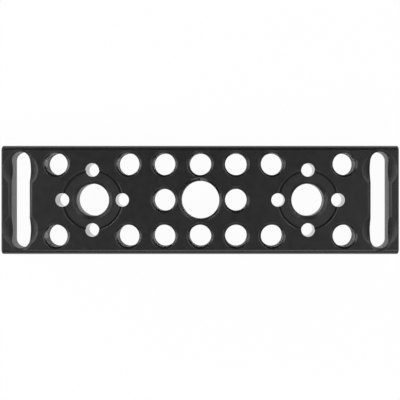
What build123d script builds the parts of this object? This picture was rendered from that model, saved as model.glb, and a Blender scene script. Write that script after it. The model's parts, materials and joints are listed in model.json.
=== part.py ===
from build123d import *
import os
from math import radians, tan

# A tripod riser block: one piece of black anodised aluminium bar, drilled, tapped,
# slotted and countersunk. It is a flat rectangular spacer, screwed between a tripod
# head and the plate above it. Sizes are in millimetres. X runs along the bar, Y
# across it and Z up. The origin is at the middle of the underside.

# Grid of tapped holes, on half-inch centres
grid_pitch = 12.7
outer_row_columns = (-4, -2, -1, 0, 1, 2, 4)
middle_row_columns = (-1, 1)
grid_minor_diameter = 7.8
grid_mouth_diameter = 9.5

# Bar, sized by the grid and the margins left round it
slot_column = 5
end_margin = 6.7
side_margin = 6.5
thickness = 12.7
long_edge_radius = 2.3
face_skim = 0.14
end_chamfer = 0.4
length = 2 * (slot_column * grid_pitch + end_margin)
width = 2 * (grid_pitch + side_margin)

# Large tapped hole at the middle
centre_minor_diameter = 13.5
centre_mouth_diameter = 15.4

# Two round seats, each with a plain bore and four locating pin holes
seat_column = 3
seat_diameter = 21.4
seat_depth = 0.8
seat_rim_chamfer = 0.3
seat_bore_diameter = 11.5
seat_bore_mouth = 14.0
pin_hole_count = 4
pin_hole_diameter = 4.76
pin_circle_diameter = 21.2

# A cross slot near each end, with two countersinks for flat-head screws
slot_width = 6.4
slot_side_wall = 2.1
slot_length = width - 2 * slot_side_wall
slot_chamfer = 1.0
countersink_diameter = 12.4
countersink_angle = 82.0
countersink_spacing = 21.2

# How far each cutting tool runs past the face it cuts
overrun = 1.0


def section(inset):
    """The bar's cross-section, drawn in by the inset on every side.

    Round-edged stock is skimmed on both wide faces. The skim takes off the flattest
    part of each round, so a faint crease is left where the round meets the face.
    """
    stock_height = thickness + 2 * (face_skim - inset)
    stock = RectangleRounded(width - 2 * inset, stock_height, long_edge_radius - inset)
    return stock & Rectangle(width - 2 * inset, thickness - 2 * inset)


def bar():
    """The blank: the cross-section along X, with a narrow chamfer round each end."""
    straight = length / 2 - end_chamfer
    blank = extrude(Plane.YZ * section(0), amount=straight, both=True)
    for side in (-1, 1):
        blank += loft([
            Plane.YZ.offset(side * straight) * section(0),
            Plane.YZ.offset(side * length / 2) * section(end_chamfer),
        ])
    return Pos(0, 0, thickness / 2) * blank


def bore_tool(diameter, mouth, top):
    """A through drill with a 45 degree chamfer at the top level and at the underside."""
    radius = diameter / 2
    flare = (mouth - diameter) / 2
    profile = Polyline(
        (0, -overrun),
        (radius + flare + overrun, -overrun),
        (radius, flare),
        (radius, top - flare),
        (radius + flare + overrun, top + overrun),
        (0, top + overrun),
        close=True,
    )
    return revolve(Plane.XZ * make_face(profile), Axis.Z)


def grid_places():
    """Centres of the sixteen small tapped holes."""
    outer = [(column, row) for row in (-1, 1) for column in outer_row_columns]
    middle = [(column, 0) for column in middle_row_columns]
    return [(column * grid_pitch, row * grid_pitch) for column, row in outer + middle]


def seat_tool():
    """One round seat: shallow recess, chamfered bore and a ring of pin holes."""
    floor = thickness - seat_depth
    wall = seat_diameter / 2
    profile = Polyline(
        (0, floor),
        (wall, floor),
        (wall, thickness - seat_rim_chamfer),
        (wall + seat_rim_chamfer + overrun, thickness + overrun),
        (0, thickness + overrun),
        close=True,
    )
    recess = revolve(Plane.XZ * make_face(profile), Axis.Z)
    pin_hole = Pos(0, 0, -overrun) * Cylinder(
        pin_hole_diameter / 2,
        thickness + 2 * overrun,
        align=(Align.CENTER, Align.CENTER, Align.MIN),
    )
    pin_holes = PolarLocations(pin_circle_diameter / 2, pin_hole_count) * pin_hole
    return [recess, bore_tool(seat_bore_diameter, seat_bore_mouth, floor), *pin_holes]


def slot_outline(growth):
    """The slot seen from above, grown by the given amount on every side."""
    straight = slot_length - slot_width
    return SlotCenterToCenter(straight, slot_width + 2 * growth, rotation=90)


def slot_tool():
    """One cross slot with a chamfer round both of its mouths."""
    through = Pos(0, 0, -overrun) * extrude(slot_outline(0), amount=thickness + 2 * overrun)
    flare = slot_chamfer + overrun
    lower = loft([
        Pos(0, 0, -overrun) * slot_outline(flare),
        Pos(0, 0, slot_chamfer) * slot_outline(0),
    ])
    upper = loft([
        Pos(0, 0, thickness - slot_chamfer) * slot_outline(0),
        Pos(0, 0, thickness + overrun) * slot_outline(flare),
    ])
    return [through, lower, upper]


def countersink_tool():
    """A conical countersink, point down, cut into the top face."""
    slope = tan(radians(countersink_angle / 2))
    depth = countersink_diameter / 2 / slope
    height = depth + overrun
    cone = Cone(0, height * slope, height, align=(Align.CENTER, Align.CENTER, Align.MIN))
    return Pos(0, 0, thickness - depth) * cone


def riser_block():
    """The finished block, as one solid."""
    tools = [bore_tool(centre_minor_diameter, centre_mouth_diameter, thickness)]
    for x, y in grid_places():
        tools.append(Pos(x, y, 0) * bore_tool(grid_minor_diameter, grid_mouth_diameter, thickness))
    for side in (-1, 1):
        seat_x = side * seat_column * grid_pitch
        tools += [Pos(seat_x, 0, 0) * tool for tool in seat_tool()]
        slot_x = side * slot_column * grid_pitch
        tools += [Pos(slot_x, 0, 0) * tool for tool in slot_tool()]
        for end in (-1, 1):
            tools.append(Pos(slot_x, end * countersink_spacing / 2, 0) * countersink_tool())
    block = bar()
    for tool in tools:
        block -= tool
    return block


os.makedirs("parts", exist_ok=True)
block = riser_block()
export_step(block, "parts/riser_block.step")
print("riser_block: solids", len(block.solids()), "volume mm3", round(block.volume, 1))
print("size mm", [round(v, 3) for v in block.bounding_box().size])
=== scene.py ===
# %% [markdown]
# # A tripod riser block
#
# The object is one bar of aluminium, drilled, tapped, slotted, blasted and anodised
# black. It goes between a tripod head and the plate above it, to lift that plate by
# half an inch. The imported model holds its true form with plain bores. This lesson
# builds a finer mesh of the same block round the same sizes: real threads, small
# rounds on every cut edge, and the different finishes that its tools leave.
#
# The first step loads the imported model. Everything after it is measured from there.

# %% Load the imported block
import json
import math

import bpy
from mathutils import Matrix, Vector


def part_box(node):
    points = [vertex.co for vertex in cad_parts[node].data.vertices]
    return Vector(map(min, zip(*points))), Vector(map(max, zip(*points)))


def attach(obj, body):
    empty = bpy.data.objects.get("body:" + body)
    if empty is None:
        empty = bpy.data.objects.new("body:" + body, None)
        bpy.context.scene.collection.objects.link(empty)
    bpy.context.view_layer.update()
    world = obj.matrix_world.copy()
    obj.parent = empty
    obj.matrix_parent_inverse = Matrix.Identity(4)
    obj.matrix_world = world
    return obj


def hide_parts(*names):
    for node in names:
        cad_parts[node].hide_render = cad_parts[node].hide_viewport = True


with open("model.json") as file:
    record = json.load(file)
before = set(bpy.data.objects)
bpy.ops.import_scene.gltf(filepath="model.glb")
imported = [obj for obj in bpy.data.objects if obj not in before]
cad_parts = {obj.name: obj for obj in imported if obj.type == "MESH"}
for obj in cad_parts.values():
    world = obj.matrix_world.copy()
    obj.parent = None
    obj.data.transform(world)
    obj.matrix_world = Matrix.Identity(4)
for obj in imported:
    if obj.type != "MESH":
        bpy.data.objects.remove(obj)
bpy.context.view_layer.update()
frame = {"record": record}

low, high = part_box("riser_block")
LENGTH, WIDTH, THICKNESS = high - low
mounts = {mount["name"]: mount for mount in frame["record"]["mounts"]}
print("block, in metres:", [round(size, 4) for size in (LENGTH, WIDTH, THICKNESS)])

# %% [markdown]
# ## The camera
#
# The block is seen straight down, with the holes' far walls just in view. The walls
# all lean away from one point, a little right of the middle and above it, and that
# point is right under the lens. So the camera looks straight down from there, and the
# picture is framed by shifting the lens, as on a copy stand. Tilting the camera
# instead would make the bar's edges converge.

# %% Set up the camera
MM = 0.001
EYE = Vector((8.7 * MM, 5.3 * MM, THICKNESS + 410.6 * MM))
FRAME_WIDTH = 141.15 * MM
FRAME_CENTRE = Vector((-0.04 * MM, 0.0))
SENSOR_WIDTH = 36.0
NEAR_CLIP = 10 * MM

camera = bpy.data.objects.new("camera", bpy.data.cameras.new("camera"))
camera.location = EYE
camera.data.sensor_width = SENSOR_WIDTH
camera.data.lens = SENSOR_WIDTH * (EYE.z - THICKNESS) / FRAME_WIDTH
camera.data.shift_x = (FRAME_CENTRE.x - EYE.x) / FRAME_WIDTH
camera.data.shift_y = (FRAME_CENTRE.y - EYE.y) / FRAME_WIDTH
camera.data.clip_start = NEAR_CLIP
bpy.context.scene.collection.objects.link(camera)
bpy.context.scene.camera = camera
bpy.context.scene.view_settings.view_transform = "Standard"
print("lens", round(camera.data.lens, 1), "shift", round(camera.data.shift_x, 4))

# %% [markdown]
# ## Writing shader maths in Python
#
# A material is a tree of nodes. Drawing one by hand is easy to follow on screen and
# hard to read in a script, so this small class wraps one output socket. Plus and
# times on it add the Math nodes, and any other node comes from `node`.

# %% Wrap a socket
class Value:
    """One output of a node tree, which Python's own operators work on."""

    def __init__(self, tree, socket=None):
        self.tree = tree
        self.socket = socket

    def node(self, kind, settings=None, sockets=None, output=0):
        """A new node: its settings first, then the values or links of its inputs."""
        made = self.tree.nodes.new("ShaderNode" + kind)
        for key, value in (settings or {}).items():
            if key == "stops":
                set_stops(made.color_ramp, value)
            else:
                setattr(made, key, value)
        for key, value in (sockets or {}).items():
            if isinstance(value, Value):
                self.tree.links.new(value.socket, made.inputs[key])
            else:
                made.inputs[key].default_value = value
        found = made.outputs[output] if len(made.outputs) else None
        return Value(self.tree, found)

    def maths(self, operation, first, second):
        return self.node("Math", {"operation": operation}, {0: first, 1: second})

    def __add__(self, other):
        return self.maths("ADD", self, other)

    def __mul__(self, other):
        return self.maths("MULTIPLY", self, other)

    __radd__ = __add__
    __rmul__ = __mul__


def set_stops(ramp, stops):
    """Gives a colour ramp these stops: places from 0 to 1, each with a grey level."""
    while len(ramp.elements) < len(stops):
        ramp.elements.new(1.0)
    for element, (place, level) in zip(ramp.elements, stops):
        element.position = place
        element.color = (level, level, level, 1.0)


# %% [markdown]
# ## The table it lies on
#
# A catalogue picture has a pure white ground. Pouring light on a real floor until it
# burns out would wash out a black object too, so the floor is a plain pale one, and
# its own faint glow reaches only the camera and what the metal mirrors. Part of the
# floor's colour stays plain, which is what keeps the block's soft shadow.

# %% Lay the floor
FLOOR_HALF = 4.0
FLOOR_COLOUR = (0.86, 0.86, 0.86, 1.0)
GLOW_COLOUR = (1.0, 1.0, 1.0, 1.0)
GLOW_SHARE = 0.97

floor_mesh = bpy.data.meshes.new("floor")
corners = [(-1, -1), (1, -1), (1, 1), (-1, 1)]
floor_points = [(x * FLOOR_HALF, y * FLOOR_HALF, low.z) for x, y in corners]
floor_mesh.from_pydata(floor_points, [], [(0, 1, 2, 3)])
floor = bpy.data.objects.new("floor", floor_mesh)
bpy.context.scene.collection.objects.link(floor)

pale = bpy.data.materials.new("pale_floor")
pale.use_nodes = True
pale.node_tree.nodes.clear()
tree = Value(pale.node_tree)
seen = tree.node("LightPath", output="Is Camera Ray")
mirrored = tree.node("LightPath", output="Is Glossy Ray")
through = tree.node("LightPath", output="Is Transmission Ray")
matt = tree.node("BsdfDiffuse", sockets={"Color": FLOOR_COLOUR})
glow = tree.node("Emission", sockets={"Color": GLOW_COLOUR, "Strength": 1.0})
glowing = (seen + mirrored + through) * GLOW_SHARE
ground = tree.node("MixShader", sockets={0: glowing, 1: matt, 2: glow})
tree.node("OutputMaterial", sockets={"Surface": ground})
floor_mesh.materials.append(pale)
print("floor half width", FLOOR_HALF)

# %% [markdown]
# ## The light
#
# Black satin shows little of its own colour: what draws its form is where the light
# boxes stand. This picture has none overhead, where the lens is, so the wide face
# stays dark. High boxes on both sides and in front give that face its grey. Low strips
# at the sides and behind run along the table, and only chamfers, countersinks and
# edges look that way, so those catch a line of light. Each box is given by the side it
# stands on, its height as an angle, its distance and size in metres, and its
# brightness, where 1 is as bright as white paper. Blender's lamps need four watts per
# square metre for that.

# %% Hang the light boxes
LIGHT_BOXES = {
    "left_strip": (180, 8, 0.36, 0.30, 0.12, 4.2),
    "right_strip": (5, 9, 0.9, 0.6, 0.25, 1.5),
    "back_left_strip": (135, 8, 0.9, 0.5, 0.25, 6.6),
    "back_right_strip": (45, 8, 0.9, 0.5, 0.25, 6.0),
    "left_box": (180, 42, 0.45, 0.3, 0.3, 1.9),
    "right_box": (0, 50, 0.9, 0.5, 0.45, 3.3),
    "front_box": (275, 47, 0.9, 0.6, 0.65, 2.25),
}
ROOM_GREY = 0.03
WATTS_PER_SQUARE_METRE = 4


def light_box(name, azimuth, elevation, distance, width, height, brightness):
    """A soft rectangular light, aimed at the block. Azimuth 0 is +X and 90 is +Y."""
    turn = math.radians(azimuth)
    rise = math.radians(elevation)
    out = Vector((math.cos(turn) * math.cos(rise), math.sin(turn) * math.cos(rise), math.sin(rise)))
    lamp = bpy.data.lights.new(name, "AREA")
    lamp.shape = "RECTANGLE"
    lamp.size = width
    lamp.size_y = height
    lamp.energy = WATTS_PER_SQUARE_METRE * width * height * brightness
    box = bpy.data.objects.new(name, lamp)
    box.location = out * distance
    box.rotation_mode = "QUATERNION"
    box.rotation_quaternion = (-out).to_track_quat("-Z", "Y")
    bpy.context.scene.collection.objects.link(box)


for name, settings in LIGHT_BOXES.items():
    light_box(name, *settings)

world = bpy.data.worlds.new("studio")
bpy.context.scene.world = world
world.use_nodes = True
room = world.node_tree.nodes["Background"]
room.inputs["Color"].default_value = (ROOM_GREY, ROOM_GREY, ROOM_GREY, 1.0)
room.inputs["Strength"].default_value = 1.0
print("light boxes:", list(LIGHT_BOXES))

# %% [markdown]
# ## Describing a wall as a line
#
# Every cut in the block has a wall that can be drawn as one line, from far out on the
# underside, through the hole, to far out on the top. Each pair is a distance from the
# hole's axis and a height. Real edges are never quite sharp: blasting rounds them by
# about a tenth of a millimetre, and that tiny round is what catches the light. So the
# line's corners are turned into arcs before the wall is made.

# %% Round a line's corners
EDGE_ROUND = 0.13 * MM
ROUND_STEPS = 3
FAR = 30 * MM
SKIN = 0.001 * MM
OVERRUN = 1.0 * MM


def rounded(path, radius):
    """The line with an arc of that radius in place of each inner corner."""
    points = [Vector(pair) for pair in path]
    smooth = [points[0]]
    for before, corner, after in zip(points, points[1:], points[2:]):
        back = (before - corner).normalized()
        on = (after - corner).normalized()
        half_angle = back.angle(on) / 2
        centre = corner + (back + on).normalized() * radius / math.sin(half_angle)
        reach = radius / math.tan(half_angle)
        first = corner + back * reach - centre
        last = corner + on * reach - centre
        for step in range(ROUND_STEPS + 1):
            spoke = first.lerp(last, step / ROUND_STEPS).normalized() * radius
            smooth.append(centre + spoke)
    return smooth + [points[-1]]


def bore_wall(radius, flare, top=THICKNESS):
    """A through bore with a 45 degree flare at both of its mouths."""
    return [
        (FAR, 0.0),
        (radius + flare, 0.0),
        (radius, flare),
        (radius, top - flare),
        (radius + flare, top),
        (FAR, top),
    ]


example = rounded(bore_wall(radius=4 * MM, flare=1 * MM), EDGE_ROUND)
print("points on a rounded bore wall:", len(example))

# %% [markdown]
# ## Cutters
#
# On the machine, a hole is what a turning tool leaves. In the same way, each cutter
# here is the solid that gets taken away: the wall's line swept round the axis, or
# round a slot's outline, and closed at both ends outside the block. All holes of one
# kind share one cutter mesh, because a boolean takes many separate closed shapes at
# once and is then done in one go.

# %% Build cutters
ROUND_SEGMENTS = 80


def outline(radius, straight, segments):
    """A circle, or a slot that is stretched along Y, as points in order."""
    half = segments // 2
    if straight == 0:
        turns = [(step, 0) for step in range(segments)]
    else:
        turns = [(step, 1) for step in range(half + 1)]
        turns += [(step, -1) for step in range(half, segments + 1)]
    points = []
    for step, end in turns:
        angle = 2 * math.pi * step / segments
        points.append((radius * math.cos(angle), radius * math.sin(angle) + end * straight / 2))
    return points


def open_ends(path):
    """The rounded line of a wall, led straight out past both faces of the block."""
    inner = rounded(path, EDGE_ROUND)[1:-1]
    start, end = inner[0], inner[-1]
    lift = Vector((0.0, SKIN))
    out = Vector((0.0, OVERRUN))
    return [start - out, start - lift, *inner[1:-1], end + lift, end + out]


def add_skin(faces, first, around, rings):
    """Joins equal rings of points with four-sided faces, and closes both ends."""
    for ring in range(rings - 1):
        start = first + ring * around
        for step in range(around):
            here = start + step
            beside = start + (step + 1) % around
            faces.append((here, beside, beside + around, here + around))
    last = first + (rings - 1) * around
    faces.append(tuple(reversed(range(first, first + around))))
    faces.append(tuple(range(last, last + around)))


def add_sweep(points, faces, line, place, straight, segments):
    """Adds one closed cutter: the line's points carried round the outline."""
    first = len(points)
    for radius, height in line:
        for x, y in outline(radius, straight, segments):
            points.append((place[0] + x, place[1] + y, height))
    around = (len(points) - first) // len(line)
    add_skin(faces, first, around, len(line))


def make_object(name, points, faces):
    """A mesh object of these points and faces."""
    mesh = bpy.data.meshes.new(name)
    mesh.from_pydata(points, [], faces)
    mesh.update()
    made = bpy.data.objects.new(name, mesh)
    bpy.context.scene.collection.objects.link(made)
    return made


def cutter(name, line, places, straight=0.0, segments=ROUND_SEGMENTS):
    """One object that holds the same cutter at every place."""
    points, faces = [], []
    for place in places:
        add_sweep(points, faces, line, place, straight, segments)
    return make_object(name, points, faces)


# %% [markdown]
# ## The bar
#
# The blank is a length of flat bar. Its long edges are rounded and its wide faces are
# skimmed after that, so a faint crease runs where the round meets the face. The ends
# are sawn square and get a narrow chamfer. A box with a bevel modifier would be the
# quick way, but it gives every edge the same round. Here one cross-section is drawn
# and repeated along the bar, drawn in a little at the ends for the chamfer. The last
# step of each arc is a very short one, which keeps the crease crisp under smooth
# shading.

# %% Make the bar
LONG_EDGE_RADIUS = 2.3 * MM
FACE_SKIM = 0.14 * MM
END_CHAMFER = 0.4 * MM
END_FACE_START = 3 * END_CHAMFER
CORNER_STEPS = 14
CREASE_STEP = math.radians(0.6)


def section(inset):
    """The bar's cross-section, drawn in by that much on every side."""
    radius = LONG_EDGE_RADIUS - inset
    side = WIDTH / 2 - LONG_EDGE_RADIUS
    rise = THICKNESS / 2 + FACE_SKIM - LONG_EDGE_RADIUS
    crease = math.asin((THICKNESS / 2 - inset - rise) / radius)
    turns = [crease * step / CORNER_STEPS for step in range(CORNER_STEPS)]
    turns += [crease - CREASE_STEP, crease]
    corner = [(side + radius * math.cos(turn), rise + radius * math.sin(turn)) for turn in turns]
    half = corner + [(-y, z) for y, z in reversed(corner)]
    whole = half + [(-y, -z) for y, z in half]
    return [(y, THICKNESS / 2 + z) for y, z in whole]


def make_bar():
    """The blank bar, with a chamfer round each end."""
    half = LENGTH / 2
    end_line = [
        (END_FACE_START, half),
        (END_CHAMFER, half),
        (0.0, half - END_CHAMFER),
        (0.0, 0.0),
    ]
    stations = rounded(end_line, EDGE_ROUND / 2)[1:-1]
    stations = [(inset, -x) for inset, x in stations] + [(inset, x) for inset, x in reversed(stations)]
    points, faces = [], []
    for inset, x in stations:
        points += [(x, y, z) for y, z in section(inset)]
    add_skin(faces, 0, len(points) // len(stations), len(stations))
    return make_object("riser_block_body", points, faces)


block = make_bar()
print("bar:", len(block.data.polygons), "faces")

# %% [markdown]
# ## The grid of tapped holes
#
# Sixteen holes take 3/8 inch screws, on half-inch centres. The record of the packed
# model holds them as rectangles of four or two, so their places come from there. A
# tap cuts a helical groove. A bump texture can suggest it, but the groove here is a
# real one: its cutter is shaped like the screw itself, with rows of points that climb
# one pitch each turn.

# %% Find the holes' places
GRID_NAMES = ["grid_wide", "grid_middle", "grid_close", "grid_cross_pair", "grid_centre_row_pair"]


def pattern_places(mount):
    """The holes of a pattern: the corners of a rectangle, or the ends of a line."""
    across = mount["dims"].get("spacing_x_mm", 0.0) * MM / 2
    along = mount["dims"].get("spacing_y_mm", 0.0) * MM / 2
    corners = {(x, y) for x in (-across, across) for y in (-along, along)}
    return sorted(corners)


grid_places = [place for name in GRID_NAMES for place in pattern_places(mounts[name])]
grid_radius = mounts["grid_wide"]["dims"]["hole_r_mm"] * MM
print(len(grid_places), "tapped holes of radius", grid_radius)

# %% Shape a screw as a cutter
THREAD_HALF_ANGLE = math.radians(30)
ROOT_SHARE = 1 / 8
SCREW_SLACK = 0.06 * MM
SPARE_TURNS = 2
LOWER_TIP_TURNS = 1
UPPER_TIP_TURNS = 2


def thread_line(minor, major, pitch):
    """One pitch of the screw, as radius and height: core, flank, top, and flank.

    The core is a little slimmer than the drilled hole, so that only the thread cuts.
    """
    core = minor - SCREW_SLACK
    flank = (major - core) * math.tan(THREAD_HALF_ANGLE)
    top = pitch * ROOT_SHARE
    rise = pitch - flank - top
    return [(core, 0.0), (core, rise - flank), (major, rise), (major, rise + top)]


def add_screw(points, faces, line, pitch, place, segments):
    """Adds one screw that stands right through the block at that place.

    A point out past each end closes it, so both ends are shallow cones.
    """
    first = len(points)
    count = len(line)
    bottom = -OVERRUN - pitch
    steps = segments * math.ceil((THICKNESS + 2 * OVERRUN) / pitch + SPARE_TURNS)
    for step in range(steps + 1):
        angle = 2 * math.pi * step / segments
        for radius, height in line:
            x = place[0] + radius * math.cos(angle)
            y = place[1] + radius * math.sin(angle)
            points.append((x, y, bottom + height + pitch * step / segments))

    def at(step, corner):
        return first + step * count + corner

    for step in range(steps):
        for corner in range(count - 1):
            beside, above = step + 1, corner + 1
            faces.append((at(step, corner), at(beside, corner), at(beside, above), at(step, above)))
    for step in range(steps - segments):
        above = step + segments
        faces.append((at(step, count - 1), at(step + 1, count - 1), at(above + 1, 0), at(above, 0)))
    lower = [at(step, 0) for step in range(segments + 1)]
    lower += [at(0, corner) for corner in range(count - 1, 0, -1)]
    upper = [at(steps, corner) for corner in range(count)]
    upper += [at(step, count - 1) for step in range(steps - 1, steps - segments - 1, -1)]
    lower_tip = bottom - pitch * LOWER_TIP_TURNS
    upper_tip = bottom + pitch * (steps / segments + UPPER_TIP_TURNS)
    for rim, height in ((lower, lower_tip), (upper, upper_tip)):
        points.append((place[0], place[1], height))
        for here, beside in zip(rim, rim[1:] + rim[:1]):
            faces.append((beside, here, len(points) - 1))


def screw_cutter(name, line, pitch, places, segments):
    """One object that holds a screw at every place."""
    points, faces = [], []
    for place in places:
        add_screw(points, faces, line, pitch, place, segments)
    return make_object(name, points, faces)


# %% Make the grid's cutters
INCH = 25.4 * MM
GRID_FLARE = 0.85 * MM
GRID_MAJOR_RADIUS = 3 / 16 * INCH
GRID_PITCH = INCH / 16
GRID_THREAD_SEGMENTS = 60

grid_line = open_ends(bore_wall(grid_radius, GRID_FLARE))
grid_drill = cutter("grid_drill", grid_line, grid_places)
grid_thread = thread_line(grid_radius, GRID_MAJOR_RADIUS, GRID_PITCH)
grid_tap = screw_cutter("grid_tap", grid_thread, GRID_PITCH, grid_places, GRID_THREAD_SEGMENTS)
print("grid tap:", len(grid_tap.data.polygons), "faces")

# %% [markdown]
# ## The large thread in the middle
#
# The middle hole takes a 5/8 inch screw, eleven turns to the inch. It is the same
# shape as the small ones at another size, so the same functions make it.

# %% Make the middle cutters
CENTRE_FLARE = 0.95 * MM
CENTRE_MAJOR_RADIUS = 5 / 16 * INCH
CENTRE_PITCH = INCH / 11
CENTRE_SEGMENTS = 128

centre_radius = mounts["centre_thread"]["dims"]["r_mm"] * MM
centre_line = open_ends(bore_wall(centre_radius, CENTRE_FLARE))
centre_drill = cutter("centre_drill", centre_line, [(0.0, 0.0)], segments=CENTRE_SEGMENTS)
centre_thread = thread_line(centre_radius, CENTRE_MAJOR_RADIUS, CENTRE_PITCH)
centre_tap = screw_cutter("centre_tap", centre_thread, CENTRE_PITCH, [(0.0, 0.0)], CENTRE_SEGMENTS)
print("middle bore radius", centre_radius)

# %% [markdown]
# ## The two round seats
#
# Each seat is a shallow round pocket that centres an accessory, with a plain bore
# through it. One line draws both: up the bore, out across the pocket's floor, down
# into a narrow groove, up the short wall, and out over its broken rim. The groove lets
# an accessory's sharp corner go right home, and is what draws the dark ring in the
# picture. Four pin holes stand on the pocket's wall, so that half of each cuts the
# floor and half the face outside it. They are reamed, which leaves them smoother than
# anything else on the block.

# %% Make the seats' cutters
SEAT_RADIUS = 10.7 * MM
SEAT_DEPTH = 0.8 * MM
GROOVE_WIDTH = 0.65 * MM
GROOVE_DEPTH = 0.6 * MM
SEAT_RIM = 0.3 * MM
SEAT_BORE_FLARE = 1.25 * MM
SEAT_SEGMENTS = 144
PIN_SEGMENTS = 64

seat_places = [mounts[name]["pos_m"][:2] for name in ("seat_bore_left", "seat_bore_right")]
seat_bore_radius = mounts["seat_bore_left"]["dims"]["r_mm"] * MM
seat_floor = THICKNESS - SEAT_DEPTH
seat_wall = bore_wall(seat_bore_radius, SEAT_BORE_FLARE, seat_floor)[:-1]
seat_wall += [
    (SEAT_RADIUS - GROOVE_WIDTH, seat_floor),
    (SEAT_RADIUS - GROOVE_WIDTH, seat_floor - GROOVE_DEPTH),
    (SEAT_RADIUS, seat_floor - GROOVE_DEPTH),
    (SEAT_RADIUS, THICKNESS - SEAT_RIM),
    (SEAT_RADIUS + SEAT_RIM, THICKNESS),
    (FAR, THICKNESS),
]
seat_cutter = cutter("seat_cutter", open_ends(seat_wall), seat_places, segments=SEAT_SEGMENTS)

pins = mounts["seat_pins_left"]["dims"]
pin_places = []
for seat_x, seat_y in seat_places:
    for number in range(pins["count"]):
        angle = 2 * math.pi * number / pins["count"]
        reach = pins["pcd_mm"] * MM / 2
        pin_places.append((seat_x + reach * math.cos(angle), seat_y + reach * math.sin(angle)))
pin_radius = pins["hole_r_mm"] * MM
pin_line = [Vector((pin_radius, -OVERRUN)), Vector((pin_radius, THICKNESS + OVERRUN))]
pin_reamer = cutter("pin_reamer", pin_line, pin_places, segments=PIN_SEGMENTS)
print(len(pin_places), "pin holes of radius", pin_radius)

# %% [markdown]
# ## The end slots
#
# A slot near each end lets the block slide across what it is screwed to. Its mouths
# are flared all round, and two countersinks in it stop a flat-head screw at either
# end of its travel. A slot's cutter is a bore's cutter pulled apart along Y.

# %% Make the slots' cutters
SLOT_RADIUS = 3.2 * MM
SLOT_SIDE_WALL = 2.1 * MM
SLOT_FLARE = 1.0 * MM
SINK_RADIUS = 6.2 * MM
SINK_SPACING = 21.2 * MM
SINK_HALF_ANGLE = math.radians(41)
SINK_ROUND = 0.35 * MM
SINK_TIP = 0.2 * MM

slot_places = [mounts[name]["pos_m"][:2] for name in ("end_slot_left", "end_slot_right")]
slot_straight = WIDTH - 2 * SLOT_SIDE_WALL - 2 * SLOT_RADIUS
slot_line = open_ends(bore_wall(SLOT_RADIUS, SLOT_FLARE))
slot_cutter = cutter("slot_cutter", slot_line, slot_places, slot_straight)

sink_bottom = THICKNESS - (SINK_RADIUS - SINK_TIP) / math.tan(SINK_HALF_ANGLE)
sink_wall = [(SINK_TIP, sink_bottom), (SINK_RADIUS, THICKNESS), (FAR, THICKNESS)]
sink_line = rounded(sink_wall, SINK_ROUND)[:-1]
sink_line[-1] = sink_line[-1] + Vector((0.0, SKIN))
sink_line.append(sink_line[-1] + Vector((0.0, OVERRUN)))
sink_places = [(x, end * SINK_SPACING / 2) for x, y in slot_places for end in (-1, 1)]
sink_cutter = cutter("sink_cutter", sink_line, sink_places)
print("slot straight length", round(slot_straight, 5))

# %% [markdown]
# ## Cutting the block
#
# Now each cutter is taken from the bar with a Boolean modifier. Every cutter is a
# closed shape, which is what the manifold solver asks for, and it is fast and exact
# on such shapes. Each cutter carries the finish of the surface that it leaves, as a
# material number, and the new faces in the block inherit it. A drill leaves one
# finish on its steep wall and another on the chamfer, so a cutter has a number for
# each, and the lean of a face says which it gets. The bar itself has two: its rounded
# long edges are still as drawn, and its skimmed faces are blasted.

# %% Cut the holes
FINISH_COUNT = 6
BLASTED, BORED, REAMED, TURNED, DRAWN, SUNK = range(FINISH_COUNT)
STEEP = 0.35
SKIMMED = 0.98
SQUARE_END = 0.1


def mark_drawn(bar):
    """Gives the rounded long edges of the bar their own finish."""
    for polygon in bar.data.polygons:
        if abs(polygon.normal.x) < SQUARE_END and abs(polygon.normal.z) < SKIMMED:
            polygon.material_index = DRAWN


def subtract(body, tool, wall, slope):
    """Takes the tool away. Steep new faces get one finish, the rest the other."""
    for polygon in tool.data.polygons:
        steep = abs(polygon.normal.z) < STEEP
        polygon.material_index = wall if steep else slope
    modifier = body.modifiers.new(tool.name, "BOOLEAN")
    modifier.operation = "DIFFERENCE"
    modifier.solver = "MANIFOLD"
    modifier.object = tool
    bpy.context.view_layer.update()
    shaped = body.evaluated_get(bpy.context.evaluated_depsgraph_get())
    mesh = bpy.data.meshes.new_from_object(shaped)
    body.modifiers.remove(modifier)
    body.data = mesh
    bpy.data.objects.remove(tool)
    print("cut, faces now", len(mesh.polygons))


CUTS = [
    (grid_drill, BORED, TURNED),
    (grid_tap, BORED, BORED),
    (centre_drill, BORED, TURNED),
    (centre_tap, BORED, BORED),
    (slot_cutter, TURNED, TURNED),
    (sink_cutter, SUNK, SUNK),
    (seat_cutter, TURNED, TURNED),
    (pin_reamer, REAMED, REAMED),
]
placeholders = [bpy.data.materials.new(f"finish_{number}") for number in range(FINISH_COUNT)]
for item in [block] + [tool for tool, wall, slope in CUTS]:
    for placeholder in placeholders:
        item.data.materials.append(placeholder)
mark_drawn(block)
for tool, wall, slope in CUTS:
    subtract(block, tool, wall, slope)

# %% [markdown]
# ## Smooth rounds, flat faces
#
# Shading blends across every edge that turns by less than a set angle, so arcs look
# round and true corners stay crisp. Plain blending also tilts the shading of the wide
# faces where a narrow round joins them. The corners on each flat face are therefore
# given that face's own direction, and only the narrow rounds blend.

# %% Settle the normals
SMOOTH_ANGLE = math.radians(32)
FLAT_ANGLE = math.radians(0.5)


def is_flat(polygon):
    """True on a face that lies square to one of the block's axes."""
    return max(abs(part) for part in polygon.normal) > math.cos(FLAT_ANGLE)


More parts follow.
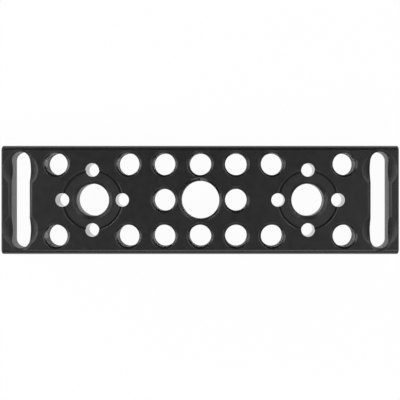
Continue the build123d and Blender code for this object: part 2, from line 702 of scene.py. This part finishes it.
def settle_normals(mesh):
    """Smooth shading, with dead flat faces that their rounds blend into."""
    mesh.shade_smooth()
    mesh.set_sharp_from_angle(angle=SMOOTH_ANGLE)
    normals = [corner.vector.copy() for corner in mesh.corner_normals]
    flat_at = {}
    for polygon in mesh.polygons:
        if is_flat(polygon):
            for vertex in polygon.vertices:
                flat_at.setdefault(vertex, []).append(polygon.normal.copy())
    for polygon in mesh.polygons:
        own = polygon.normal
        for corner, vertex in zip(polygon.loop_indices, polygon.vertices):
            for direction in flat_at.get(vertex, ()):
                if direction.angle(own) < SMOOTH_ANGLE:
                    normals[corner] = direction
    mesh.normals_split_custom_set(normals)
    return len(flat_at)


print("corners settled on flat faces:", settle_normals(block.data))
triangles = sum(len(polygon.vertices) - 2 for polygon in block.data.polygons)
print("triangles in the block:", triangles)

# %% [markdown]
# ## Black anodised aluminium
#
# The block is blasted with fine glass beads and then anodised: the surface turns into
# a thin clear oxide that is dyed black. It looks like a smooth dark stone more than a
# metal, with a soft shine. A mirror-like metal shader would be wrong, because the dye
# hides the metal. So the colour is nearly black and not metallic, the shine is broad,
# and two noises do the rest: a fine one for the beads' dents and a wide faint one for
# the dye, which never takes quite evenly.
#
# What a tool cut has faint rings at one height all round, so there the bump follows
# the height. What is reamed is smoother still, and the countersinks are the dullest.
# The countersinks' paler grey is painted light: it stands in for the light that the
# low lamps throw into them.
# The rounded long edges keep the skin of the drawn bar, which is smoother than the
# skimmed and blasted faces. Noise seldom strays far from one half, so the ramp of
# greys is spread over a narrow span of it.

# %% Mix the finishes
GRAIN_PER_METRE = 5200.0
DYE_PER_METRE = 420.0
RING_PITCH = 0.12 * MM
DENT_DEPTH = 0.03 * MM
DYE_SHARE = 0.5
SPAN_START = 0.36
SPAN_END = 0.64
DYE_SHINE = 0.12
DENT_SHINE = 0.06
MIDDLE_SHINE = (DYE_SHINE + DENT_SHINE) / 2
OXIDE_IOR = 1.5


def anodised(name, darkest, palest, roughness, grain, rings):
    """Black anodised metal: its greys, its roughness, and how deep its dents and rings are."""
    material = bpy.data.materials.new(name)
    material.use_nodes = True
    material.node_tree.nodes.clear()
    tree = Value(material.node_tree)
    place = tree.node("TexCoord", output="Object")
    dye = tree.node("TexNoise", sockets={"Vector": place, "Scale": DYE_PER_METRE, "Detail": 4.0})
    dents = tree.node("TexNoise", sockets={"Vector": place, "Scale": GRAIN_PER_METRE, "Detail": 2.0})
    speckle = DYE_SHARE * dye + (1 - DYE_SHARE) * dents
    greys = [(SPAN_START, darkest), (SPAN_END, palest)]
    colour = tree.node("ValToRGB", {"stops": greys}, {"Fac": speckle})
    height = tree.node("SeparateXYZ", sockets={0: place}, output="Z")
    tool_rings = tree.maths("SINE", height * (2 * math.pi / RING_PITCH), 0.0)
    texture = grain * dents + rings * tool_rings
    relief = tree.node("Bump", sockets={"Height": texture, "Distance": DENT_DEPTH, "Strength": 1.0})
    shine = (roughness - MIDDLE_SHINE) + DYE_SHINE * dye + DENT_SHINE * dents
    surface = tree.node(
        "BsdfPrincipled",
        sockets={"Base Color": colour, "Roughness": shine, "IOR": OXIDE_IOR, "Normal": relief},
    )
    tree.node("OutputMaterial", sockets={"Surface": surface})
    return material


finishes = {
    BLASTED: anodised("blasted_black", 0.0082, 0.0122, 0.40, 0.55, 0.0),
    BORED: anodised("bored_black", 0.0095, 0.0135, 0.22, 0.08, 0.02),
    REAMED: anodised("reamed_black", 0.011, 0.016, 0.12, 0.03, 0.005),
    TURNED: anodised("turned_black", 0.017, 0.023, 0.40, 0.3, 0.25),
    DRAWN: anodised("drawn_black", 0.0075, 0.0115, 0.26, 0.12, 0.0),
    # The countersinks' paler grey is painted light, for the low lamps' light in them; their broad
    # shine is their own.
    SUNK: anodised("sunk_black_painted_light", 0.022, 0.029, 0.52, 0.08, 0.06),
}
for number, finish in finishes.items():
    block.data.materials[number] = finish
for placeholder in placeholders:
    bpy.data.materials.remove(placeholder)
worn = [0] * FINISH_COUNT
for polygon in block.data.polygons:
    worn[polygon.material_index] += 1
print("faces in each finish:", dict(zip([slot.name for slot in block.data.materials], worn)))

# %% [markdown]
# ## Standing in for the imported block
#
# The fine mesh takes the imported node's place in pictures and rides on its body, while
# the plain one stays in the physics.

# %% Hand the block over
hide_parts("riser_block")
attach(block, "root")
